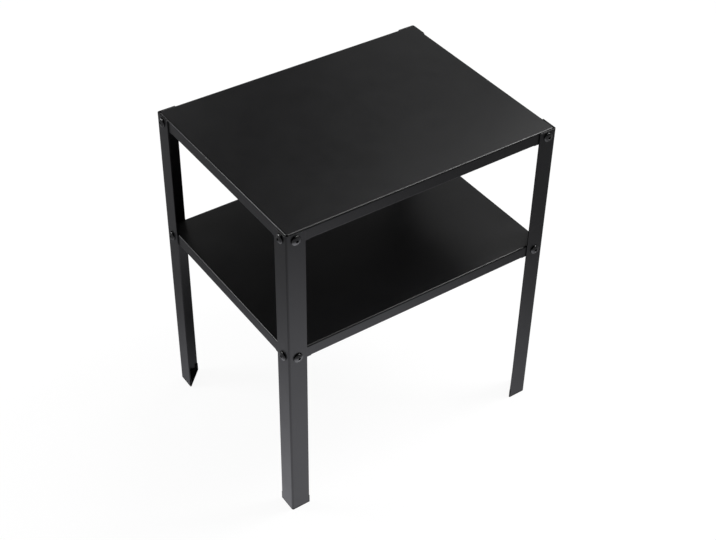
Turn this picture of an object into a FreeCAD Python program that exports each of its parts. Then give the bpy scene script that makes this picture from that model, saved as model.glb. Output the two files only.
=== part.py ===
import FreeCAD, Part
import math
import os

# A nightstand: two folded sheet-steel shelves bolted between four legs of bent steel angle.
# Millimetres, +Z up. The origin is on the floor under the middle of the stand, +X points
# to its right end and -Y to its front.

# The whole stand, over the outer faces of the legs
WIDTH = 460.0
DEPTH = 350.0
HEIGHT = 535.0
LOWER_SHELF_HEIGHT = 325.5

# Leg: an equal angle bent from sheet, its open side towards the middle of the stand
LEG_FLANGE = 30.0
LEG_SHEET = 2.0
LEG_BEND = 3.0
LEG_TIP_ROUND = 2.0
LEG_TOP_DROP = 1.0

# Shelf: a sheet folded down on four sides, each flange with a lip turned inwards
SHELF_SHEET = 1.0
SHELF_FLANGE = 20.0
SHELF_BEND = 2.5
SHELF_LIP = 9.0
SHELF_LIP_BEND = 2.0
SHELF_LIP_SETBACK = 8.0
SHELF_CORNER_RELIEF = 0.5

# Screw: a button head with a hex socket, and the hole that it passes through
SCREW_DIAMETER = 6.0
SCREW_LENGTH = 10.0
SCREW_TIP_CHAMFER = 0.7
SCREW_HEAD_DIAMETER = 15.0
SCREW_HEAD_HEIGHT = 4.2
SCREW_HEAD_RIM = 1.8
SCREW_HEAD_ROUND = 1.2
SCREW_SOCKET = 4.0
SCREW_SOCKET_DEPTH = 2.2
SCREW_DROP = 11.0
SCREW_HOLE_CLEARANCE = 0.3

# Nut, on the inside of the shelf's flange
NUT_ACROSS_FLATS = 10.0
NUT_THICKNESS = 5.0
NUT_CHAMFER = 0.6
NUT_THREAD_GAP = 0.05

# Foot: a plastic sole with low walls inside the leg and two uprights that hook round its free edges
FOOT_SOLE = 2.0
FOOT_SOLE_CHAMFER = 0.6
FOOT_WALL = 1.8
FOOT_WALL_TOP = 7.0
FOOT_UPRIGHT = 5.0
FOOT_UPRIGHT_TOP = 15.0
FOOT_HOOK = 0.6
FOOT_FIT = 0.15

# How far a cutting tool runs past what it cuts, and the shortest edge that is drawn
CUT_OVERRUN = 1.0
SHORTEST_EDGE = 0.0001

Vector = FreeCAD.Vector
ORIGIN = Vector(0, 0, 0)
UP = Vector(0, 0, 1)
QUARTER_TURN = 90
FULL_TURN = 4 * QUARTER_TURN
HEXAGON_SIDES = 6

# The faces of the stand in the order of the quarter turns that lead from the front to them
FACES = ["front", "right", "back", "left"]

# The corners in the order of the quarter turns that lead from the front left to them
CORNERS = ["front_left", "front_right", "back_right", "back_left"]

# Each tier: its name and the height of its shelf's upper surface
TIERS = [("top", HEIGHT), ("lower", LOWER_SHELF_HEIGHT)]


def rounded_corner(before, corner, after, radius):
    """The start, the middle and the end of the arc that rounds one corner of an outline."""
    if radius == 0:
        return corner, corner, corner
    to_before = (before - corner).normalize()
    to_after = (after - corner).normalize()
    half_angle = to_before.getAngle(to_after) / 2
    inwards = (to_before + to_after).normalize()
    centre = corner + inwards * (radius / math.sin(half_angle))
    tangent = radius / math.tan(half_angle)
    return corner + to_before * tangent, centre - inwards * radius, corner + to_after * tangent


def flat_face(outline):
    """A face from its corners, each given as a point and the radius that rounds it."""
    arcs = []
    for index, (corner, radius) in enumerate(outline):
        before = outline[index - 1][0]
        after = outline[(index + 1) % len(outline)][0]
        arcs.append(rounded_corner(before, corner, after, radius))
    edges = []
    for index, (start, middle, end) in enumerate(arcs):
        last_end = arcs[index - 1][2]
        if (start - last_end).Length > SHORTEST_EDGE:
            edges.append(Part.LineSegment(last_end, start).toShape())
        if (end - start).Length > SHORTEST_EDGE:
            edges.append(Part.Arc(start, middle, end).toShape())
    return Part.Face(Part.Wire(edges))


def quarter_turned(shape, turns):
    """A copy of a shape, turned about the upright axis through the origin."""
    turned = shape.copy()
    turned.rotate(ORIGIN, UP, QUARTER_TURN * turns)
    return turned


def at_corner(shape, corner):
    """A piece of the front left corner, drawn from that corner's edge, moved to a corner."""
    x_side = 1 if corner.endswith("right") else -1
    y_side = 1 if corner.startswith("back") else -1
    placed = quarter_turned(shape, CORNERS.index(corner))
    placed.translate(Vector(x_side * WIDTH / 2, y_side * DEPTH / 2, 0))
    return placed


def on_leg_flanges(shape, height):
    """A shape that points along Y at the origin, set on both flanges of the front left leg."""
    along = LEG_FLANGE / 2
    first = shape.copy()
    first.translate(Vector(along, 0, height))
    second = quarter_turned(shape, -1)
    second.translate(Vector(0, along, height))
    return [first, second]


def screw_holes(height):
    """The two holes through leg and shelf at one tier of the front left corner."""
    radius = SCREW_DIAMETER / 2 + SCREW_HOLE_CLEARANCE
    start = Vector(0, -CUT_OVERRUN, 0)
    depth = LEG_SHEET + SHELF_SHEET + 2 * CUT_OVERRUN
    hole = Part.makeCylinder(radius, depth, start, Vector(0, 1, 0))
    return on_leg_flanges(hole, height - SCREW_DROP)


def tip_edges(shape, top):
    """The two short edges at the free top corners of a leg's flanges."""
    found = []
    for edge in shape.Edges:
        middle = edge.CenterOfMass
        at_top = abs(middle.z - top) < SHORTEST_EDGE
        at_tip = abs(max(middle.x, middle.y) - LEG_FLANGE) < SHORTEST_EDGE
        if at_top and at_tip:
            found.append(edge)
    return found


def leg():
    """The front left leg, standing on the sole of its foot."""
    inner_bend = LEG_BEND - LEG_SHEET
    section = flat_face([
        (Vector(0, 0, FOOT_SOLE), LEG_BEND),
        (Vector(LEG_FLANGE, 0, FOOT_SOLE), 0),
        (Vector(LEG_FLANGE, LEG_SHEET, FOOT_SOLE), 0),
        (Vector(LEG_SHEET, LEG_SHEET, FOOT_SOLE), inner_bend),
        (Vector(LEG_SHEET, LEG_FLANGE, FOOT_SOLE), 0),
        (Vector(0, LEG_FLANGE, FOOT_SOLE), 0),
    ])
    top = HEIGHT - LEG_TOP_DROP
    angle = section.extrude(Vector(0, 0, top - FOOT_SOLE))
    angle = angle.makeFillet(LEG_TIP_ROUND, tip_edges(angle, top))
    holes = []
    for name, height in TIERS:
        holes += screw_holes(height)
    return angle.cut(holes)


def shelf_flange(length):
    """A shelf's flange bent down from its sheet, along X, with its outer face on y = 0."""
    section = flat_face([
        (Vector(0, SHELF_BEND, 0), 0),
        (Vector(0, 0, 0), SHELF_BEND),
        (Vector(0, 0, -SHELF_FLANGE), 0),
        (Vector(0, SHELF_SHEET, -SHELF_FLANGE), 0),
        (Vector(0, SHELF_SHEET, -SHELF_SHEET), SHELF_BEND - SHELF_SHEET),
        (Vector(0, SHELF_BEND, -SHELF_SHEET), 0),
    ])
    section.translate(Vector(-length / 2, 0, 0))
    return section.extrude(Vector(length, 0, 0))


def shelf_flange_with_lip(length):
    """The same flange where its lower edge is turned inwards as a lip."""
    lip_top = SHELF_SHEET - SHELF_FLANGE
    section = flat_face([
        (Vector(0, SHELF_BEND, 0), 0),
        (Vector(0, 0, 0), SHELF_BEND),
        (Vector(0, 0, -SHELF_FLANGE), SHELF_LIP_BEND),
        (Vector(0, SHELF_LIP, -SHELF_FLANGE), 0),
        (Vector(0, SHELF_LIP, lip_top), 0),
        (Vector(0, SHELF_SHEET, lip_top), SHELF_LIP_BEND - SHELF_SHEET),
        (Vector(0, SHELF_SHEET, -SHELF_SHEET), SHELF_BEND - SHELF_SHEET),
        (Vector(0, SHELF_BEND, -SHELF_SHEET), 0),
    ])
    section.translate(Vector(-length / 2, 0, 0))
    return section.extrude(Vector(length, 0, 0))


def shelf_side(shelf_length, corner_notch):
    """One side of a shelf: a flange, with the lip left away at the ends behind the legs."""
    flange_length = shelf_length - 2 * corner_notch
    lip_length = shelf_length - 2 * (LEG_FLANGE - LEG_SHEET + SHELF_LIP_SETBACK)
    end_length = (flange_length - lip_length) / 2
    pieces = [shelf_flange_with_lip(lip_length)]
    for side in (-1, 1):
        end = shelf_flange(end_length)
        end.translate(Vector(side * (lip_length + end_length) / 2, 0, 0))
        pieces.append(end)
    return pieces


def shelf_plate(width, depth, corner_notch):
    """The flat of a shelf between its bends, with a notch at each corner."""
    plate_width = width - 2 * SHELF_BEND
    plate_depth = depth - 2 * SHELF_BEND
    low_corner = Vector(-plate_width / 2, -plate_depth / 2, -SHELF_SHEET)
    plate = Part.makeBox(plate_width, plate_depth, SHELF_SHEET, low_corner)
    notches = []
    for x_side in (-1, 1):
        for y_side in (-1, 1):
            notch_height = SHELF_SHEET + 2 * CUT_OVERRUN
            centre = Vector(x_side * width / 2, y_side * depth / 2, 0)
            half_notch = Vector(corner_notch, corner_notch, SHELF_SHEET + CUT_OVERRUN)
            notch = Part.makeBox(2 * corner_notch, 2 * corner_notch, notch_height, centre - half_notch)
            notches.append(notch)
    return plate.cut(notches)


def shelf(height):
    """A shelf between the legs, its upper surface at a height."""
    width = WIDTH - 2 * LEG_SHEET
    depth = DEPTH - 2 * LEG_SHEET
    corner_notch = max(SHELF_BEND, LEG_BEND - LEG_SHEET) + SHELF_CORNER_RELIEF
    pieces = []
    for turns in range(len(FACES)):
        side_length = width if turns % 2 == 0 else depth
        distance = depth / 2 if turns % 2 == 0 else width / 2
        for piece in shelf_side(side_length, corner_notch):
            piece.translate(Vector(0, -distance, 0))
            pieces.append(quarter_turned(piece, turns))
    tray = shelf_plate(width, depth, corner_notch).fuse(pieces).removeSplitter()
    tray.translate(Vector(0, 0, height))
    holes = []
    for corner in CORNERS:
        for hole in screw_holes(height):
            holes.append(at_corner(hole, corner))
    return tray.cut(holes)


def hexagon_prism(across_flats, height):
    """An upright hexagonal prism about the Z axis, two of its corners on the X axis."""
    corner_radius = across_flats / 2 / math.cos(math.pi / HEXAGON_SIDES)
    points = []
    for index in range(HEXAGON_SIDES):
        angle = 2 * math.pi * index / HEXAGON_SIDES
        points.append((Vector(corner_radius * math.cos(angle), corner_radius * math.sin(angle), 0), 0))
    return flat_face(points).extrude(Vector(0, 0, height))


def revolved(outline):
    """A solid turned from an outline in the XZ plane about the Z axis."""
    return flat_face(outline).revolve(ORIGIN, UP, FULL_TURN)


def laid_along_y(shape):
    """A shape that points up, laid down so that it points to the front."""
    laid = shape.copy()
    laid.rotate(ORIGIN, Vector(1, 0, 0), QUARTER_TURN)
    return laid


def screw_head():
    """An upright button head, standing on z = 0, with its edge rounded and its socket cut."""
    radius = SCREW_HEAD_DIAMETER / 2
    dome_height = SCREW_HEAD_HEIGHT - SCREW_HEAD_RIM
    ball_radius = (radius ** 2 + dome_height ** 2) / (2 * dome_height)
    ball = Part.makeSphere(ball_radius, Vector(0, 0, SCREW_HEAD_HEIGHT - ball_radius))
    head = Part.makeCylinder(radius, SCREW_HEAD_HEIGHT).common(ball)
    shoulder = []
    for edge in head.Edges:
        at_rim = abs(edge.BoundBox.ZMin - SCREW_HEAD_RIM) < SHORTEST_EDGE
        if at_rim and abs(edge.BoundBox.ZMax - SCREW_HEAD_RIM) < SHORTEST_EDGE:
            shoulder.append(edge)
    socket = hexagon_prism(SCREW_SOCKET, SCREW_SOCKET_DEPTH + CUT_OVERRUN)
    socket.translate(Vector(0, 0, SCREW_HEAD_HEIGHT - SCREW_SOCKET_DEPTH))
    return head.makeFillet(SCREW_HEAD_ROUND, shoulder).cut(socket)


def screw():
    """A screw with its head in front of y = 0 and its shank behind it, along Y."""
    radius = SCREW_DIAMETER / 2
    shank = revolved([
        (Vector(0, 0, -SCREW_LENGTH), 0),
        (Vector(radius - SCREW_TIP_CHAMFER, 0, -SCREW_LENGTH), 0),
        (Vector(radius, 0, SCREW_TIP_CHAMFER - SCREW_LENGTH), 0),
        (Vector(radius, 0, 0), 0),
        (Vector(0, 0, 0), 0),
    ])
    return laid_along_y(screw_head().fuse(shank).removeSplitter())


def nut():
    """A nut on the screw, seated on the inside of the shelf's flange."""
    flat_radius = NUT_ACROSS_FLATS / 2
    corner_radius = flat_radius / math.cos(math.pi / HEXAGON_SIDES)
    envelope = revolved([
        (Vector(0, 0, 0), 0),
        (Vector(flat_radius, 0, 0), 0),
        (Vector(corner_radius, 0, NUT_CHAMFER), 0),
        (Vector(corner_radius, 0, NUT_THICKNESS - NUT_CHAMFER), 0),
        (Vector(flat_radius, 0, NUT_THICKNESS), 0),
        (Vector(0, 0, NUT_THICKNESS), 0),
    ])
    bore_radius = SCREW_DIAMETER / 2 + NUT_THREAD_GAP
    bore_start = Vector(0, 0, -CUT_OVERRUN)
    bore = Part.makeCylinder(bore_radius, NUT_THICKNESS + 2 * CUT_OVERRUN, bore_start)
    body = hexagon_prism(NUT_ACROSS_FLATS, NUT_THICKNESS).common(envelope).cut(bore)
    seated = laid_along_y(body)
    seated.translate(Vector(0, LEG_SHEET + SHELF_SHEET + NUT_THICKNESS, 0))
    return seated


def foot_block(inside, reach, height):
    """A block on the floor over the whole outline of the front left foot."""
    return flat_face([
        (Vector(0, 0, 0), LEG_BEND),
        (Vector(reach, 0, 0), 0),
        (Vector(reach, inside, 0), 0),
        (Vector(inside, reach, 0), 0),
        (Vector(0, reach, 0), 0),
    ]).extrude(Vector(0, 0, height))


def foot_sole(inside, reach):
    """The plate under the front left leg, its lower edge chamfered."""
    sole = foot_block(inside, reach, FOOT_SOLE)
    lower_edges = []
    for edge in sole.Edges:
        if edge.BoundBox.ZMax < SHORTEST_EDGE:
            lower_edges.append(edge)
    return sole.makeChamfer(FOOT_SOLE_CHAMFER, lower_edges)


def foot_walls(inside, reach):
    """The low walls on the sole along the inner faces of the leg."""
    clear_of_bend = inside + LEG_BEND - LEG_SHEET
    wall_side = inside + FOOT_WALL
    return flat_face([
        (Vector(clear_of_bend, inside, FOOT_SOLE), 0),
        (Vector(reach, inside, FOOT_SOLE), 0),
        (Vector(reach, wall_side, FOOT_SOLE), 0),
        (Vector(wall_side, wall_side, FOOT_SOLE), 0),
        (Vector(wall_side, reach, FOOT_SOLE), 0),
        (Vector(inside, reach, FOOT_SOLE), 0),
        (Vector(inside, clear_of_bend, FOOT_SOLE), 0),
    ]).extrude(Vector(0, 0, FOOT_WALL_TOP - FOOT_SOLE))


def foot_upright(inside, reach):
    """The taller end of the wall at the leg's front flange, with its hook round the flange's free edge."""
    rise = FOOT_UPRIGHT_TOP - FOOT_SOLE
    post = Part.makeBox(FOOT_UPRIGHT, FOOT_WALL, rise, Vector(reach - FOOT_UPRIGHT, inside, FOOT_SOLE))
    hook = Part.makeBox(FOOT_HOOK, inside, rise, Vector(reach - FOOT_HOOK, 0, FOOT_SOLE))
    return post.fuse(hook)


def foot():
    """The foot of the front left leg, its sole under the leg's edge and on the floor."""
    inside = LEG_SHEET + FOOT_FIT
    reach = LEG_FLANGE + FOOT_FIT + FOOT_HOOK
    upright = foot_upright(inside, reach)
    other_upright = upright.mirror(ORIGIN, Vector(1, -1, 0))
    above_sole = foot_walls(inside, reach).fuse([upright, other_upright])
    above_sole = above_sole.common(foot_block(inside, reach, FOOT_UPRIGHT_TOP))
    return foot_sole(inside, reach).fuse(above_sole).removeSplitter()


def write(name, shape):
    """Write one piece to its file, as a single sound solid."""
    solid = shape.Solids[0]
    if len(shape.Solids) > 1 or not solid.isValid():
        raise ValueError(name + " is not one sound solid")
    solid.exportStep("parts/" + name + ".step")


def write_fasteners(tier, height, corner):
    """The two screws and the two nuts that hold one shelf at one corner."""
    screws = on_leg_flanges(screw(), height - SCREW_DROP)
    nuts = on_leg_flanges(nut(), height - SCREW_DROP)
    for index, placed_screw in enumerate(screws):
        face = FACES[CORNERS.index(corner) - index]
        write(tier + "_" + corner + "_screw_" + face, at_corner(placed_screw, corner))
        write(tier + "_" + corner + "_nut_" + face, at_corner(nuts[index], corner))


def main():
    os.makedirs("parts", exist_ok=True)
    front_left_leg = leg()
    front_left_foot = foot()
    for tier, height in TIERS:
        write(tier + "_shelf", shelf(height))
    for corner in CORNERS:
        write("leg_" + corner, at_corner(front_left_leg, corner))
        write("foot_" + corner, at_corner(front_left_foot, corner))
        for tier, height in TIERS:
            write_fasteners(tier, height, corner)


main()
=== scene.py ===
import bmesh
import bpy
import math
from mathutils import Matrix, Vector


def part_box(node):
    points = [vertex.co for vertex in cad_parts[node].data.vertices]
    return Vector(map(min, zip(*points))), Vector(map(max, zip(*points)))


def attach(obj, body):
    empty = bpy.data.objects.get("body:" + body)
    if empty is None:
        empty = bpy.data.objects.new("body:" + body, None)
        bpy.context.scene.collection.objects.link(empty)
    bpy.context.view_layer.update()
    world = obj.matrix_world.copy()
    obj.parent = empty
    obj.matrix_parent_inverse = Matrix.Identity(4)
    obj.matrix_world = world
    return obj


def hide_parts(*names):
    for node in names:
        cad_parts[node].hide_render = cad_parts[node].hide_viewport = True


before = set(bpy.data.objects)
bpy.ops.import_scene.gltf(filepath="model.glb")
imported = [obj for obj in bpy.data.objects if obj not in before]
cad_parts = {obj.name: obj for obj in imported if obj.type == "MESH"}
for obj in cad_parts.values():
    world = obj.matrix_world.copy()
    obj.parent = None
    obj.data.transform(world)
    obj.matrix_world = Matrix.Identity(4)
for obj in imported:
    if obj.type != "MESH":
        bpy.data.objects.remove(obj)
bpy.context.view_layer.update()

# A nightstand: two folded sheet-steel shelves bolted between four legs of bent steel angle.
# Metres, in the frame of the CAD: +Z up, +X to the stand's right end, -Y to its front.

# The photograph's camera, worked out from the stand's straight edges. Angles in degrees
IMAGE_WIDTH = 716
IMAGE_HEIGHT = 540
FOCAL_LENGTH_PX = 1361.871
PRINCIPAL_X_PX = 399.457
PRINCIPAL_Y_PX = 230.340
CAMERA_PLACE = (-0.937868, -1.344626, 1.635375)
CAMERA_YAW = 52.714
CAMERA_PITCH = 38.480
CAMERA_ROLL = 2.362
SENSOR_WIDTH = 36.0

# Leg: an equal angle bent from sheet
LEG_LOW, LEG_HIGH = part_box("leg_front_left")
LEG_FLANGE = LEG_HIGH.x - LEG_LOW.x
LEG_SHEET = 0.002
LEG_BEND = 0.003
LEG_TIP_ROUND = 0.002

# Shelf: a folded sheet with flanges and lips
SHELF_LOW, SHELF_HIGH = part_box("top_shelf")
SHELF_FLANGE = SHELF_HIGH.z - SHELF_LOW.z
SHELF_SHEET = 0.001
SHELF_BEND = 0.0025
SHELF_NOTCH = 0.003
SHELF_LIP = 0.009
SHELF_LIP_BEND = 0.002
SHELF_LIP_START = 0.036

# Holes in legs and shelves: how far below a shelf's top, their radius, and half of the cell round each
SCREW_DROP = 0.011
HOLE_RADIUS = 0.0033
HOLE_CELL = 0.006

# Screw: a button head with a hex socket that ends in a drill's cone
HEAD_RADIUS = 0.0075
HEAD_HEIGHT = 0.0042
HEAD_RIM = 0.0018
HEAD_ROUND = 0.0012
HEAD_FOOT_ROUND = 0.00025
HEAD_FOOT_INSET = 0.3 * HEAD_FOOT_ROUND
SOCKET_FLATS = 0.004
SOCKET_DEPTH = 0.0022
SOCKET_CHAMFER = 0.00015
SOCKET_CONE_RUN = 3
DOME_START = 0.7 * SOCKET_FLATS
SHANK_RADIUS = 0.003
SHANK_LENGTH = 0.010
THREAD_PITCH = 0.001
THREAD_DEPTH = 0.00055
THREAD_START = 0.0015
THREAD_FLAT = 0.1
TIP_CHAMFER = 0.0007

# Nut, behind the sheets that the screw clamps
NUT_FLATS = 0.010
NUT_THICKNESS = 0.005
NUT_FACE_RADIUS = 0.00492
NUT_CHAMFER_ANGLE = 30
NUT_BORE = 0.00305
NUT_BORE_CHAMFER = 0.00035

# Foot: a sole with low walls inside the leg, and uprights that hook round its free edges
FOOT_SOLE = LEG_LOW.z
FOOT_SOLE_ROUND = 0.0006
FOOT_WALL = 0.0018
FOOT_WALL_TOP = 0.007
FOOT_UPRIGHT = 0.005
FOOT_UPRIGHT_TOP = 0.015
FOOT_HOOK = 0.0006
FOOT_FIT = 0.00015
FOOT_INSIDE = LEG_SHEET + FOOT_FIT
FOOT_REACH = LEG_FLANGE + FOOT_FIT + FOOT_HOOK

# How finely curves are divided
BEND_STEPS = 8
ROUND_STEPS = 48
HOLE_STEPS = 32
LIP_STEPS = 12
DOME_STEPS = 5
SHOULDER_STEPS = 6
THREAD_ROWS = 6
SMALLEST = 0.000001

# The edges of sheet and mouldings: how far they are rounded, and from which angle in degrees a fold is
# rounded, or drawn sharp on screws and nuts
SHEET_EDGE = 0.00025
FOOT_EDGE = 0.0002
EDGE_SEGMENTS = 2
EDGE_ANGLE = 35
SHARP_ANGLE = 32

# Coat: linear base colour, roughness and shine, the scales of its patterns and how much each one does
COAT_BASE = 0.003
COAT_BLUE = 1.2
COAT_ROUGHNESS = 0.34
COAT_EDGE_ROUGHNESS = 0.30
# How much lighter the coat is on sheet edges: partly a thinner, worn coat, partly a painted highlight along
# the edges
COAT_EDGE_WEAR_AND_HIGHLIGHT = 0.5
COAT_IOR = 1.55
COAT_SHINE = 0.5
COAT_CLOUDS = 9.0
COAT_CLOUD_SHARE = 0.08
COAT_HANDLING = 34.0
COAT_HANDLING_SHARE = 0.02
COAT_PEEL = 700.0
COAT_GRAIN = 3600.0
COAT_GRAIN_SHARE = 0.3
COAT_BUMP = 0.3
COAT_BUMP_HEIGHT = 0.00004

# Bare metal of screws and nuts, with the scales of their grain
SCREW_BASE = 0.11
SCREW_ROUGHNESS = 0.22
SCREW_GRAIN = 1500.0
NUT_BASE = 0.5
NUT_ROUGHNESS = 0.32
NUT_GRAIN = 2500.0
METAL_CLOUDS = 180.0
METAL_CLOUD_SHARE = 0.2
METAL_SMOOTHER = 0.04
METAL_ROUGHER = 0.05
METAL_BUMP = 0.2
METAL_BUMP_HEIGHT = 0.00003

# Plastic of the feet
FOOT_BASE = 0.004
FOOT_ROUGHNESS = 0.65
FOOT_SHINE = 0.12

# The values between which a noise mostly lies, and the most that the patterns of two pieces are moved apart
NOISE_LOW = 0.3
NOISE_HIGH = 0.7
PATTERN_SHIFT = (7.0, 7.0, 7.0)

# Turns of the fasteners about their axes, in degrees: a screw's from the one before, and a nut's, which
# takes a few values by turns
SCREW_SPIN = 47
NUT_SPIN = 4
NUT_SPINS = 5

# Floor: a disc that curves up into a low wall. Gloss sees a slightly blue pool of light on it, and shade
# under the stand
FLOOR_RADIUS = 2.6
FLOOR_STEPS = 96
SWEEP = [(0.0, 0.0), (0.30, 0.06), (0.48, 0.22), (0.55, 0.45), (0.57, 0.95)]
FLOOR_GLOW = 0.92
FLOOR_PAINT = 0.8
FLOOR_PAINT_SEEN = 0.12
POOL_CENTRE = (-0.175, -0.332, 0.0)
POOL_INNER = 0.04
POOL_OUTER = 0.79
POOL_REST = 0.13
POOL_BLUE = 1.07
SHADE_CENTRE = (0.0, 0.04, 0.0)
SHADE_INNER = 0.12
SHADE_OUTER = 0.30
SHADE_LEFT = 0.05

# World: its strength in gloss and as light on what is matt
WORLD_GLOSS = 0.015
WORLD_LIGHT = 0.25

# Softboxes round a point that they face: name, azimuth and elevation in degrees, distance and size in
# metres, power in watts
LAMP_AIM = (0.0, 0.0, 0.35)
LAMPS = [
    ("front", -20, 50, 2.3, 0.8, 25.0),
    ("overhead", 0, 76, 2.3, 0.8, 9.0),
    ("left_back", 146, 22, 2.3, 0.8, 18.0),
    ("right", 35, 50, 2.3, 0.8, 1.45),
    ("right_high", 40, 62, 2.3, 0.8, 2.2),
    ("right_near", 9, 45, 0.75, 0.25, 0.12),
    ("back", 80, 20, 2.3, 0.8, 2.1),
    ("right_back", 50, 20, 2.3, 0.8, 0.9),
]

# The shelves, and the faces and corners of the stand in the order of quarter turns from the front
TIERS = ["top", "lower"]
FACES = ["front", "right", "back", "left"]
CORNERS = ["front_left", "front_right", "back_right", "back_left"]
QUARTER = math.pi / 2
UP = Vector((0, 0, 1))


# Mesh helpers
def steps(low, high, count):
    """The ends and the inner divisions of a range."""
    return [low + (high - low) * index / count for index in range(count + 1)]


def quarter_turn(point, turns):
    """A point turned about the upright axis by quarter turns."""
    return Matrix.Rotation(QUARTER * turns, 3, "Z") @ Vector(point)


def add_hole(mesh, place, corners, centre, radius):
    """Four faces between the corners of a cell and a round hole in it."""
    first_corner = -3 * math.pi / 4
    ring = []
    for step in range(HOLE_STEPS):
        angle = 2 * math.pi * step / HOLE_STEPS + first_corner
        u = centre[0] + radius * math.cos(angle)
        v = centre[1] + radius * math.sin(angle)
        ring.append(mesh.verts.new(place(u, v)))
    quarter = HOLE_STEPS // 4
    for side in range(4):
        arc = [ring[(quarter * (side + 1) - step) % HOLE_STEPS] for step in range(quarter + 1)]
        mesh.faces.new([corners[side], corners[(side + 1) % 4]] + arc)


def add_patch(mesh, place, across, along, holes=(), skip=()):
    """Faces over the cells of a grid, with a round hole in each cell that holds a hole's centre."""
    grid = [[mesh.verts.new(place(u, v)) for v in along] for u in across]
    for i, (left, right) in enumerate(zip(across, across[1:])):
        for j, (low, high) in enumerate(zip(along, along[1:])):
            corners = [grid[i][j], grid[i + 1][j], grid[i + 1][j + 1], grid[i][j + 1]]
            inside = [(u, v) for u, v in holes if left < u < right and low < v < high]
            if inside:
                add_hole(mesh, place, corners, inside[0], HOLE_RADIUS)
            elif (i, j) not in skip:
                mesh.faces.new(corners)


def finished_mesh(mesh, name, sharp_angle=None):
    """The mesh with its patches joined and shaded smooth, its sharper edges marked if an angle is given."""
    bmesh.ops.remove_doubles(mesh, verts=mesh.verts, dist=SMALLEST)
    loose = [v for v in mesh.verts if not v.link_faces]
    bmesh.ops.delete(mesh, geom=loose, context="VERTS")
    data = bpy.data.meshes.new(name)
    mesh.to_mesh(data)
    mesh.free()
    data.shade_smooth()
    if sharp_angle:
        data.set_sharp_from_angle(angle=math.radians(sharp_angle))
    return data


def polar_row(mesh, ring):
    """The vertices of one ring round the Z axis."""
    row = []
    for step in range(ROUND_STEPS):
        angle = 2 * math.pi * step / ROUND_STEPS
        radius, height = ring(angle)
        row.append(mesh.verts.new((radius * math.cos(angle), radius * math.sin(angle), height)))
    return row


def polar_mesh(rings, name, closed=False):
    """A mesh through rings, each of them a function from an angle to a radius and a height."""
    mesh = bmesh.new()
    rows = [polar_row(mesh, ring) for ring in rings]
    if closed:
        rows.append(rows[0])
    for low, high in zip(rows, rows[1:]):
        for step in range(ROUND_STEPS):
            after = (step + 1) % ROUND_STEPS
            mesh.faces.new([low[step], high[step], high[after], low[after]])
    bmesh.ops.remove_doubles(mesh, verts=mesh.verts, dist=SMALLEST)
    bmesh.ops.recalc_face_normals(mesh, faces=mesh.faces)
    return finished_mesh(mesh, name, SHARP_ANGLE)


def linked(name, data):
    """A new object in the scene."""
    thing = bpy.data.objects.new(name, data)
    bpy.context.scene.collection.objects.link(thing)
    return thing


def prism(name, outline, low, high):
    """An upright block over an outline, as an object."""
    mesh = bmesh.new()
    face = mesh.faces.new([mesh.verts.new((x, y, low)) for x, y in outline])
    block = bmesh.ops.extrude_face_region(mesh, geom=[face])
    top = [item for item in block["geom"] if isinstance(item, bmesh.types.BMVert)]
    bmesh.ops.translate(mesh, verts=top, vec=(0, 0, high - low))
    bmesh.ops.recalc_face_normals(mesh, faces=mesh.faces)
    data = bpy.data.meshes.new(name)
    mesh.to_mesh(data)
    mesh.free()
    return linked(name, data)


def joined_mesh(base, others):
    """The mesh of several blocks joined into one. The blocks are used up."""
    for other in others:
        modifier = base.modifiers.new("join", "BOOLEAN")
        modifier.operation = "UNION"
        modifier.solver = "EXACT"
        modifier.object = other
    bpy.context.view_layer.update()
    finished = base.evaluated_get(bpy.context.evaluated_depsgraph_get())
    data = bpy.data.meshes.new_from_object(finished)
    for block in [base] + others:
        bpy.data.objects.remove(block)
    return data


# The meshes of the shelves and legs, each as the outer surface of its sheet
def shelf_divisions(half_length):
    """What divides the faces of a shelf's side: its left end, middle and right end. Also its right hole."""
    lip_end = half_length - SHELF_LIP_START
    hole = half_length + LEG_SHEET - LEG_FLANGE / 2
    right = [lip_end, hole - HOLE_CELL, hole + HOLE_CELL, half_length - SHELF_NOTCH]
    left = [-u for u in reversed(right)]
    return left, steps(-lip_end, lip_end, LIP_STEPS), right, hole


def add_shelf_side(mesh, turns):
    """One side of a shelf, turned from the front. Returns its part of the upper face's rim."""
    half_length, out = [(SHELF_HIGH.x, SHELF_HIGH.y), (SHELF_HIGH.y, SHELF_HIGH.x)][turns % 2]
    left, middle, right, hole = shelf_divisions(half_length)
    across = left[:-1] + middle + right[1:]
    lip_top = SHELF_LIP_BEND - SHELF_FLANGE

    def flange(u, z):
        return quarter_turn((u, -out, z), turns)

    def lip(u, reach):
        return quarter_turn((u, -reach, -SHELF_FLANGE), turns)

    def upper_bend(u, angle):
        reach = out - SHELF_BEND + SHELF_BEND * math.cos(angle)
        return quarter_turn((u, -reach, SHELF_BEND * math.sin(angle) - SHELF_BEND), turns)

    def lower_bend(u, angle):
        reach = out - SHELF_LIP_BEND + SHELF_LIP_BEND * math.cos(angle)
        return quarter_turn((u, -reach, lip_top + SHELF_LIP_BEND * math.sin(angle)), turns)

    holes = [(-hole, -SCREW_DROP), (hole, -SCREW_DROP)]
    levels = [lip_top, -SCREW_DROP - HOLE_CELL, -SCREW_DROP + HOLE_CELL, -SHELF_BEND]
    add_patch(mesh, flange, across, levels, holes)
    for end in (left, right):
        add_patch(mesh, flange, end, [-SHELF_FLANGE, lip_top])
    add_patch(mesh, upper_bend, across, steps(0, QUARTER, BEND_STEPS))
    add_patch(mesh, lower_bend, middle, steps(-QUARTER, 0, BEND_STEPS))
    add_patch(mesh, lip, middle, [out - SHELF_LIP, out - SHELF_LIP_BEND])
    rim = [quarter_turn((u, SHELF_BEND - out, 0), turns) for u in across]
    rim.append(quarter_turn((half_length - SHELF_NOTCH, SHELF_NOTCH - out, 0), turns))
    return rim


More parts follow.
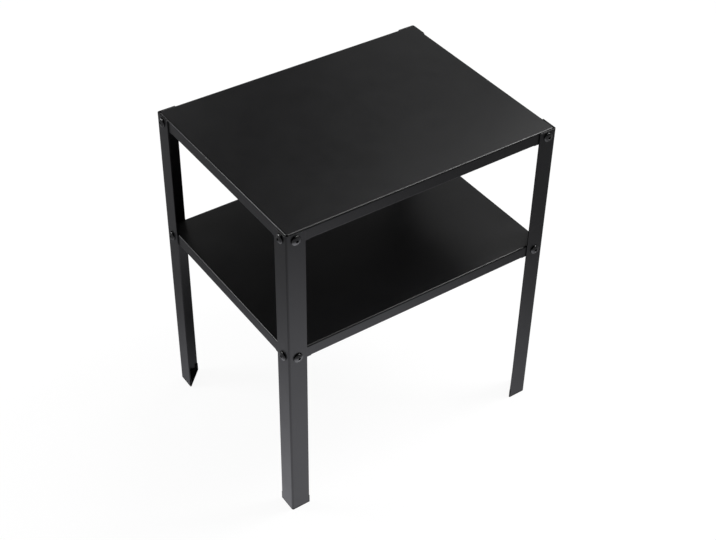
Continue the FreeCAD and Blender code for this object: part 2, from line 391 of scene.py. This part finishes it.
def shelf_mesh():
    """A shelf with its upper face at z = 0."""
    mesh = bmesh.new()
    rim = []
    for turns in range(len(FACES)):
        rim += add_shelf_side(mesh, turns)
    mesh.faces.new([mesh.verts.new(point) for point in rim])
    return finished_mesh(mesh, "shelf")


def leg_levels():
    """The heights that divide a leg's faces, and those of its holes."""
    levels, holes = [LEG_LOW.z], []
    for tier in reversed(TIERS):
        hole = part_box(tier + "_shelf")[1].z - SCREW_DROP
        levels += [hole - HOLE_CELL, hole + HOLE_CELL]
        holes.append(hole)
    return levels + [LEG_HIGH.z - LEG_TIP_ROUND, LEG_HIGH.z], holes


def add_tip(mesh, place, side, start):
    """The rounded corner at the top of a flange's free edge."""
    middle = side * (LEG_FLANGE - LEG_TIP_ROUND)
    level = LEG_HIGH.z - LEG_TIP_ROUND
    points = [(middle, level)]
    for angle in steps(start, start + QUARTER, BEND_STEPS):
        points.append((middle + LEG_TIP_ROUND * math.cos(angle), level + LEG_TIP_ROUND * math.sin(angle)))
    mesh.faces.new([mesh.verts.new(place(u, z)) for u, z in points])


def leg_mesh():
    """The front left leg, with its vertex on the Z axis."""
    mesh = bmesh.new()
    levels, holes = leg_levels()
    last = len(levels) - 2
    middle = LEG_FLANGE / 2
    across = [LEG_BEND, middle - HOLE_CELL, middle + HOLE_CELL, LEG_FLANGE - LEG_TIP_ROUND, LEG_FLANGE]
    across_left = [-u for u in reversed(across)]

    def front(u, z):
        return Vector((u, 0, z))

    def left(u, z):
        return Vector((0, -u, z))

    def bend(angle, z):
        return Vector((LEG_BEND + LEG_BEND * math.cos(angle), LEG_BEND + LEG_BEND * math.sin(angle), z))

    add_patch(mesh, front, across, levels, [(middle, z) for z in holes], [(len(across) - 2, last)])
    add_patch(mesh, left, across_left, levels, [(-middle, z) for z in holes], [(0, last)])
    add_patch(mesh, bend, steps(math.pi, 1.5 * math.pi, BEND_STEPS), levels)
    add_tip(mesh, front, 1, 0)
    add_tip(mesh, left, -1, QUARTER)
    return finished_mesh(mesh, "leg")


# The meshes of the screw and nut, turned about Z
def hexagon_radius(angle, flats):
    """How far a hexagon's outline is from its middle at an angle."""
    sixth = math.pi / 3
    return flats / 2 / math.cos((angle + sixth / 2) % sixth - sixth / 2)


def dome_ball():
    """The radius of the ball that the head's domed face is a part of."""
    rise = HEAD_HEIGHT - HEAD_RIM
    return (HEAD_RADIUS ** 2 + rise ** 2) / (2 * rise)


def dome_height(radius):
    """The height of the head's domed face."""
    ball = dome_ball()
    return HEAD_HEIGHT - ball + math.sqrt(ball ** 2 - radius ** 2)


def shoulder_arc():
    """The rounding between the head's dome and its rim, as radii and heights from the dome outwards."""
    ball = dome_ball()
    across = HEAD_RADIUS - HEAD_ROUND
    up = math.sqrt((ball - HEAD_ROUND) ** 2 - across ** 2)
    middle = HEAD_HEIGHT - ball + up
    angles = steps(math.atan2(up, across), 0, SHOULDER_STEPS)
    return [(across + HEAD_ROUND * math.cos(a), middle + HEAD_ROUND * math.sin(a)) for a in angles]


def constant_ring(radius, height):
    """A round ring."""
    return lambda angle: (radius, height)


def socket_ring(height, margin=0.0):
    """A hexagonal ring round the socket, at a height or, with none given, on the dome."""
    def ring(angle):
        radius = hexagon_radius(angle, SOCKET_FLATS) + margin
        return radius, dome_height(radius) if height is None else height
    return ring


def thread_ring(depth):
    """A ring of the shank at a depth below the head, with its thread cut in."""
    def ring(angle):
        phase = (depth / THREAD_PITCH + angle / (2 * math.pi)) % 1
        groove = min(1, max(0, (abs(2 * phase - 1) - THREAD_FLAT) / (1 - 2 * THREAD_FLAT)))
        fade = min(1, max(0, (depth - THREAD_START) / THREAD_PITCH))
        radius = SHANK_RADIUS - THREAD_DEPTH * groove * fade
        return min(radius, SHANK_RADIUS + SHANK_LENGTH - TIP_CHAMFER - depth), -depth
    return ring


def head_rings():
    """The rings of the head from the bottom of its socket to its foot."""
    floor = HEAD_HEIGHT - SOCKET_DEPTH
    drill = SOCKET_FLATS / 2 - SOCKET_CHAMFER
    rings = [
        constant_ring(0, floor - drill / SOCKET_CONE_RUN),
        constant_ring(drill, floor),
        socket_ring(floor),
        socket_ring(dome_height(SOCKET_FLATS / 2) - 2 * SOCKET_CHAMFER),
        socket_ring(None, SOCKET_CHAMFER),
    ]
    shoulder = shoulder_arc()
    for radius in steps(DOME_START, shoulder[0][0], DOME_STEPS)[:-1]:
        rings.append(constant_ring(radius, dome_height(radius)))
    rings += [constant_ring(radius, height) for radius, height in shoulder]
    return rings + [
        constant_ring(HEAD_RADIUS, HEAD_FOOT_ROUND),
        constant_ring(HEAD_RADIUS - HEAD_FOOT_INSET, HEAD_FOOT_INSET),
        constant_ring(HEAD_RADIUS - HEAD_FOOT_ROUND, 0),
        constant_ring(SHANK_RADIUS + HEAD_FOOT_ROUND, 0),
    ]


def screw_mesh():
    """A screw with its head above z = 0 and its threaded shank below."""
    rings = head_rings()
    rings.append(constant_ring(SHANK_RADIUS, -HEAD_FOOT_ROUND))
    rows = round(THREAD_ROWS * (SHANK_LENGTH - THREAD_START) / THREAD_PITCH)
    rings += [thread_ring(depth) for depth in steps(THREAD_START, SHANK_LENGTH, rows)]
    rings.append(constant_ring(0, -SHANK_LENGTH))
    return polar_mesh(rings, "screw")


def nut_edge_ring(is_outer):
    """The edge between a nut's sides and the chamfer of its outer or inner face."""
    def ring(angle):
        radius = hexagon_radius(angle, NUT_FLATS)
        drop = (radius - NUT_FACE_RADIUS) * math.tan(math.radians(NUT_CHAMFER_ANGLE))
        return radius, -drop if is_outer else drop - NUT_THICKNESS
    return ring


def nut_mesh():
    """A nut with its outer face at z = 0 and the rest of it below."""
    wide = NUT_BORE + NUT_BORE_CHAMFER
    rings = [
        constant_ring(NUT_BORE, -NUT_BORE_CHAMFER),
        constant_ring(wide, 0),
        constant_ring(NUT_FACE_RADIUS, 0),
        nut_edge_ring(True),
        nut_edge_ring(False),
        constant_ring(NUT_FACE_RADIUS, -NUT_THICKNESS),
        constant_ring(wide, -NUT_THICKNESS),
        constant_ring(NUT_BORE, NUT_BORE_CHAMFER - NUT_THICKNESS),
    ]
    return polar_mesh(rings, "nut", closed=True)


# The mesh of the foot, of the front left leg, with the leg's vertex on the Z axis
def sole_outline():
    """The sole under the leg, round at the leg's bend."""
    bend = [LEG_BEND + LEG_BEND * math.cos(a) for a in steps(math.pi, 1.5 * math.pi, BEND_STEPS)]
    ends = [(FOOT_REACH, 0), (FOOT_REACH, FOOT_INSIDE), (FOOT_INSIDE, FOOT_REACH), (0, FOOT_REACH)]
    return list(zip(bend, reversed(bend))) + ends


def walls_outline():
    """The low walls along the leg's inner faces, clear of the bend inside it."""
    clear = FOOT_INSIDE + LEG_BEND - LEG_SHEET
    side = FOOT_INSIDE + FOOT_WALL
    slant = FOOT_REACH - FOOT_WALL
    along_front = [(clear, FOOT_INSIDE), (FOOT_REACH, FOOT_INSIDE), (slant, side), (side, side)]
    return along_front + [(side, slant), (FOOT_INSIDE, FOOT_REACH), (FOOT_INSIDE, clear)]


def upright_outline():
    """The upright at the end of the front wall, with its hook round the flange's free edge."""
    side = FOOT_INSIDE + FOOT_WALL
    hook = FOOT_REACH - FOOT_HOOK
    post = FOOT_REACH - FOOT_UPRIGHT
    outer = [(hook, 0), (FOOT_REACH, 0), (FOOT_REACH, FOOT_INSIDE), (FOOT_REACH - FOOT_WALL, side)]
    return outer + [(post, side), (post, FOOT_INSIDE), (hook, FOOT_INSIDE)]


def round_lower_edges(data):
    """Round the edges of a block that lie on the floor."""
    mesh = bmesh.new()
    mesh.from_mesh(data)
    lower = [e for e in mesh.edges if max(v.co.z for v in e.verts) < SMALLEST]
    bmesh.ops.bevel(mesh, geom=lower, offset=FOOT_SOLE_ROUND, segments=EDGE_SEGMENTS, profile=0.5,
                    affect="EDGES")
    mesh.to_mesh(data)
    mesh.free()


def foot_mesh():
    """The whole foot, its walls and uprights sunk a little into its sole."""
    sole = prism("foot", sole_outline(), 0, FOOT_SOLE)
    round_lower_edges(sole.data)
    sunk = FOOT_SOLE / 2
    outline = upright_outline()
    mirrored = [(y, x) for x, y in reversed(outline)]
    data = joined_mesh(sole, [
        prism("walls", walls_outline(), sunk, FOOT_WALL_TOP),
        prism("upright", outline, sunk, FOOT_UPRIGHT_TOP),
        prism("upright", mirrored, sunk, FOOT_UPRIGHT_TOP),
    ])
    data.name = "foot"
    data.shade_smooth()
    return data


# Materials
class Nodes:
    """A short way to write the node tree of a material or of the world."""

    # The sockets of a mix of colours
    FACTOR, FIRST, SECOND, RESULT = 0, 6, 7, 2

    def __init__(self, owner):
        owner.use_nodes = True
        self.tree = owner.node_tree
        self.tree.nodes.clear()

    def add(self, kind, inputs=None, **settings):
        node = self.tree.nodes.new("ShaderNode" + kind)
        for key, value in settings.items():
            setattr(node, key, value)
        for key, value in (inputs or {}).items():
            self.feed(node.inputs[key], value)
        return node

    def feed(self, socket, value):
        if isinstance(value, bpy.types.NodeSocket):
            self.tree.links.new(value, socket)
        else:
            socket.default_value = value

    def finish(self, kind, shader):
        """Send a shader to the output of a material or of the world."""
        self.feed(self.add(kind).inputs["Surface"], shader.outputs[0])

    def math(self, operation, first, second=0.0, clamp=False):
        node = self.add("Math", {0: first, 1: second}, operation=operation)
        node.use_clamp = clamp
        return node.outputs[0]

    def remap(self, value, low, high, to_low, to_high, kind="LINEAR"):
        limits = {"Value": value, "From Min": low, "From Max": high, "To Min": to_low, "To Max": to_high}
        return self.add("MapRange", limits, interpolation_type=kind).outputs["Result"]

    def spread(self, noise, low, high):
        """A noise stretched from where it mostly lies to other limits."""
        return self.remap(noise, NOISE_LOW, NOISE_HIGH, low, high)

    def noise(self, place, scale, detail=2.0, roughness=0.5):
        inputs = {"Vector": place, "Scale": scale, "Detail": detail, "Roughness": roughness}
        return self.add("TexNoise", inputs).outputs["Fac"]

    def blend(self, factor, first, second):
        node = self.add("Mix", data_type="RGBA")
        self.feed(node.inputs[self.FACTOR], factor)
        self.feed(node.inputs[self.FIRST], first)
        self.feed(node.inputs[self.SECOND], second)
        return node.outputs[self.RESULT]

    def distance(self, place, point):
        return self.add("VectorMath", {0: place, 1: point}, operation="DISTANCE").outputs["Value"]

    def own_place(self):
        """Places on the piece itself, moved by a different step on each piece."""
        place = self.add("TexCoord").outputs["Object"]
        chance = self.add("ObjectInfo").outputs["Random"]
        inputs = {0: chance, 1: PATTERN_SHIFT, 2: place}
        return self.add("VectorMath", inputs, operation="MULTIPLY_ADD").outputs[0]


def grey(value, blue=1.0):
    """A grey, with its blue made stronger or weaker."""
    return (value, value, value * blue, 1.0)


def coat_material(name, base, roughness, edge=0.0, shine=COAT_SHINE):
    """Satin black: fine orange peel, faint clouds, and a little lighter on an edge, partly where it thins
    and partly as a painted highlight.
    """
    material = bpy.data.materials.new(name)
    n = Nodes(material)
    place = n.own_place()
    clouds = n.spread(n.noise(place, COAT_CLOUDS, detail=3.0), 0.0, 1.0)
    # On edges the colour is lighter, partly for a thinner coat and partly as a painted highlight
    dark = grey(base * (1 - COAT_CLOUD_SHARE + edge), COAT_BLUE)
    light = grey(base * (1 + COAT_CLOUD_SHARE + edge), COAT_BLUE)
    handling = n.noise(place, COAT_HANDLING, detail=4.0, roughness=0.6)
    rough = n.spread(handling, roughness - COAT_HANDLING_SHARE, roughness + COAT_HANDLING_SHARE)
    grain = n.math("MULTIPLY", n.noise(place, COAT_GRAIN, detail=1.0), COAT_GRAIN_SHARE)
    height = n.math("ADD", n.noise(place, COAT_PEEL), grain)
    bump = n.add("Bump", {"Strength": COAT_BUMP, "Distance": COAT_BUMP_HEIGHT, "Height": height})
    colour = n.blend(clouds, dark, light)
    shader = n.add("BsdfPrincipled", {"Base Color": colour, "Roughness": rough, "Normal": bump.outputs[0]})
    shader.inputs["IOR"].default_value = COAT_IOR
    shader.inputs["Specular IOR Level"].default_value = shine
    n.finish("OutputMaterial", shader)
    return material


def coat_and_edge(name):
    """The coat of a sheet, and the same coat on the sheet's edges, lighter there partly where it thins and
    partly as a painted highlight.
    """
    return [
        coat_material(name, COAT_BASE, COAT_ROUGHNESS),
        coat_material(name + "_edge", COAT_BASE, COAT_EDGE_ROUGHNESS, COAT_EDGE_WEAR_AND_HIGHLIGHT),
    ]


def metal_material(name, base, roughness, grain):
    """Bare or plated steel with a fine grain."""
    material = bpy.data.materials.new(name)
    n = Nodes(material)
    place = n.own_place()
    clouds = n.noise(place, METAL_CLOUDS, detail=3.0)
    colour = n.blend(clouds, grey(base * (1 - METAL_CLOUD_SHARE)), grey(base * (1 + METAL_CLOUD_SHARE)))
    fine = n.noise(place, grain)
    rough = n.spread(fine, roughness - METAL_SMOOTHER, roughness + METAL_ROUGHER)
    bump = n.add("Bump", {"Strength": METAL_BUMP, "Distance": METAL_BUMP_HEIGHT, "Height": fine})
    shader = n.add("BsdfPrincipled", {"Base Color": colour, "Roughness": rough, "Normal": bump.outputs[0]})
    shader.inputs["Metallic"].default_value = 1.0
    n.finish("OutputMaterial", shader)
    return material


# Pieces
def with_materials(data, materials):
    """A mesh with its materials in their slots."""
    for material in materials:
        data.materials.append(material)
    return data


def add_piece(name, data, node, turn, place):
    """A finished piece in the place of a CAD node."""
    piece = linked(name, data)
    piece.matrix_world = Matrix.Translation(place) @ turn
    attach(piece, "root")
    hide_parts(node)
    return piece


def thicken(piece, thickness):
    """Give a sheet its thickness, inwards from its outer surface."""
    solidify = piece.modifiers.new("sheet", "SOLIDIFY")
    solidify.thickness = thickness
    solidify.offset = -1
    solidify.use_even_offset = True


def round_edges(piece, width, material=0):
    """Round a piece's sharp edges, and keep its flats flat in the shading."""
    bevel = piece.modifiers.new("edges", "BEVEL")
    bevel.width = width
    bevel.segments = EDGE_SEGMENTS
    bevel.limit_method = "ANGLE"
    bevel.angle_limit = math.radians(EDGE_ANGLE)
    bevel.material = material
    normals = piece.modifiers.new("normals", "WEIGHTED_NORMAL")
    normals.keep_sharp = True


def make_shelves():
    """The top and the lower shelf, from one mesh."""
    sheet = with_materials(shelf_mesh(), coat_and_edge("shelf_coat"))
    for tier in TIERS:
        node = tier + "_shelf"
        place = (0, 0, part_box(node)[1].z)
        piece = add_piece("sheet_" + tier, sheet, node, Matrix.Identity(4), place)
        thicken(piece, SHELF_SHEET)
        round_edges(piece, SHEET_EDGE, 1)


def make_legs_and_feet():
    """The four legs and their feet, each a quarter turn from the one before."""
    plastic = coat_material("foot_plastic", FOOT_BASE, FOOT_ROUGHNESS, shine=FOOT_SHINE)
    leg = with_materials(leg_mesh(), coat_and_edge("leg_coat"))
    foot = with_materials(foot_mesh(), [plastic])
    for turns, corner in enumerate(CORNERS):
        low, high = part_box("leg_" + corner)
        place = ((low.x, high.x)["right" in corner], (low.y, high.y)["back" in corner], 0)
        turn = Matrix.Rotation(QUARTER * turns, 4, "Z")
        piece = add_piece("angle_" + corner, leg, "leg_" + corner, turn, place)
        thicken(piece, LEG_SHEET)
        round_edges(piece, SHEET_EDGE, 1)
        piece = add_piece("foot_pad_" + corner, foot, "foot_" + corner, turn, place)
        round_edges(piece, FOOT_EDGE)


def face_turn(face):
    """The turn that points a screw's Z axis out of a face of the stand, its Y axis up."""
    out = quarter_turn((0, -1, 0), FACES.index(face))
    return Matrix((UP.cross(out), UP, out)).transposed().to_4x4()


def screw_place(node, face):
    """The point where a screw's axis meets the leg's outer face."""
    low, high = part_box(node)
    middle = (low + high) / 2
    leg_reach = (abs(LEG_LOW.y), abs(LEG_LOW.x))[FACES.index(face) % 2]
    out = quarter_turn((0, -1, 0), FACES.index(face))
    return middle - out * middle.dot(out) + out * leg_reach


def add_fastener(screw, nut, seat, face, count):
    """A screw through a face of the stand and the nut behind it."""
    node = seat + "_screw_" + face
    turn = face_turn(face)
    place = screw_place(node, face)
    spin = Matrix.Rotation(math.radians(SCREW_SPIN * count), 4, "Z")
    add_piece("screw_" + seat + "_" + face, screw, node, turn @ spin, place)
    place = place - turn.to_3x3() @ Vector((0, 0, LEG_SHEET + SHELF_SHEET))
    nut_spin = NUT_SPIN * (count % NUT_SPINS - NUT_SPINS // 2)
    spin = Matrix.Rotation(math.radians(nut_spin), 4, "Z")
    add_piece("nut_" + seat + "_" + face, nut, seat + "_nut_" + face, turn @ spin, place)


def make_fasteners():
    """The screws and nuts, two of each at every corner of each shelf."""
    screw_steel = metal_material("screw_steel", SCREW_BASE, SCREW_ROUGHNESS, SCREW_GRAIN)
    nut_steel = metal_material("nut_steel", NUT_BASE, NUT_ROUGHNESS, NUT_GRAIN)
    screw = with_materials(screw_mesh(), [screw_steel])
    nut = with_materials(nut_mesh(), [nut_steel])
    count = 0
    for tier in TIERS:
        for index, corner in enumerate(CORNERS):
            for face in (FACES[index], FACES[index - 1]):
                add_fastener(screw, nut, tier + "_" + corner, face, count)
                count += 1


# Camera, floor and light
def make_camera():
    """The camera that took the photograph."""
    yaw, pitch, roll = (math.radians(a) for a in (CAMERA_YAW, CAMERA_PITCH, CAMERA_ROLL))
    level = math.cos(pitch)
    forward = Vector((math.cos(yaw) * level, math.sin(yaw) * level, -math.sin(pitch)))
    level_right = Vector((math.sin(yaw), -math.cos(yaw), 0))
    level_up = level_right.cross(forward)
    right = math.cos(roll) * level_right + math.sin(roll) * level_up
    up = math.cos(roll) * level_up - math.sin(roll) * level_right
    data = bpy.data.cameras.new("camera")
    data.sensor_width = SENSOR_WIDTH
    data.lens = FOCAL_LENGTH_PX * SENSOR_WIDTH / IMAGE_WIDTH
    data.shift_x = (IMAGE_WIDTH / 2 - PRINCIPAL_X_PX) / IMAGE_WIDTH
    data.shift_y = (PRINCIPAL_Y_PX - IMAGE_HEIGHT / 2) / IMAGE_WIDTH
    camera = linked("camera", data)
    turn = Matrix((right, up, -forward)).transposed().to_4x4()
    camera.matrix_world = Matrix.Translation(CAMERA_PLACE) @ turn
    bpy.context.scene.camera = camera


def pool_strength(n, position):
    """What gloss sees on the floor: a pool of light beside the stand, and shade under it."""
    away = n.distance(position, POOL_CENTRE)
    pool = n.remap(away, POOL_INNER, POOL_OUTER, 1.0, POOL_REST, "SMOOTHSTEP")
    beside = n.distance(position, SHADE_CENTRE)
    shade = n.remap(beside, SHADE_INNER, SHADE_OUTER, SHADE_LEFT, 1.0, "SMOOTHSTEP")
    return n.math("MULTIPLY", pool, shade)


def floor_material():
    """White floor: it glows for what looks at it, keeps a faint shadow, and is a pool of light in gloss."""
    material = bpy.data.materials.new("floor")
    n = Nodes(material)
    path = n.add("LightPath").outputs
    place = n.add("NewGeometry").outputs
    gloss = path["Is Glossy Ray"]
    seen = n.math("ADD", path["Is Camera Ray"], path["Is Transmission Ray"])
    in_gloss = n.math("MULTIPLY", gloss, pool_strength(n, place["Position"]))
    strength = n.math("ADD", n.math("MULTIPLY", seen, FLOOR_GLOW), in_gloss)
    tint = n.blend(gloss, grey(1.0), grey(1.0, POOL_BLUE))
    glow = n.add("Emission", {"Color": tint, "Strength": strength})
    paint = n.remap(n.math("ADD", seen, gloss), 0.0, 1.0, FLOOR_PAINT, FLOOR_PAINT_SEEN)
    matt = n.add("BsdfDiffuse", {"Color": n.add("CombineColor", {0: paint, 1: paint, 2: paint}).outputs[0]})
    both = n.add("AddShader", {0: glow.outputs[0], 1: matt.outputs[0]})
    clear = n.add("BsdfTransparent")
    sides = n.add("MixShader", {0: place["Backfacing"], 1: both.outputs[0], 2: clear.outputs[0]})
    n.finish("OutputMaterial", sides)
    return material


def make_floor():
    """A round floor that curves up into a low wall all round."""
    points, faces = [(0, 0, 0)], []
    for step in range(FLOOR_STEPS):
        angle = 2 * math.pi * step / FLOOR_STEPS
        for out, up in SWEEP:
            radius = FLOOR_RADIUS + out
            points.append((radius * math.cos(angle), radius * math.sin(angle), up))
    rows = len(SWEEP)
    for step in range(FLOOR_STEPS):
        here, there = 1 + step * rows, 1 + (step + 1) % FLOOR_STEPS * rows
        faces.append((0, here, there))
        faces += [(here + row, here + row + 1, there + row + 1, there + row) for row in range(rows - 1)]
    data = bpy.data.meshes.new("floor")
    data.from_pydata(points, [], faces)
    data.update()
    linked("floor", with_materials(data, [floor_material()]))


def make_world():
    """White for what looks at it or through glass, dim in gloss, and an even light on what is matt."""
    world = bpy.data.worlds.new("world")
    n = Nodes(world)
    path = n.add("LightPath").outputs
    seen = n.math("ADD", path["Is Camera Ray"], path["Is Transmission Ray"], clamp=True)
    in_gloss = n.math("MULTIPLY", path["Is Glossy Ray"], WORLD_GLOSS - WORLD_LIGHT)
    light = n.math("ADD", in_gloss, WORLD_LIGHT)
    strength = n.math("MAXIMUM", seen, light)
    n.finish("OutputWorld", n.add("Background", {"Color": grey(1.0), "Strength": strength}))
    bpy.context.scene.world = world


def add_lamp(name, azimuth, elevation, distance, size, power):
    """A softbox that faces the stand, from an azimuth counted from +X towards +Y."""
    data = bpy.data.lights.new(name, "AREA")
    data.shape = "SQUARE"
    data.size = size
    data.energy = power
    around, up = math.radians(azimuth), math.radians(elevation)
    out = Vector((math.cos(around) * math.cos(up), math.sin(around) * math.cos(up), math.sin(up)))
    lamp = linked(name, data)
    lamp.location = Vector(LAMP_AIM) + out * distance
    lamp.rotation_euler = out.to_track_quat("Z", "Y").to_euler()
    lamp.visible_camera = False


make_shelves()
make_legs_and_feet()
make_fasteners()
make_camera()
make_world()
make_floor()
for lamp in LAMPS:
    add_lamp(*lamp)
bpy.context.scene.view_settings.view_transform = "Standard"
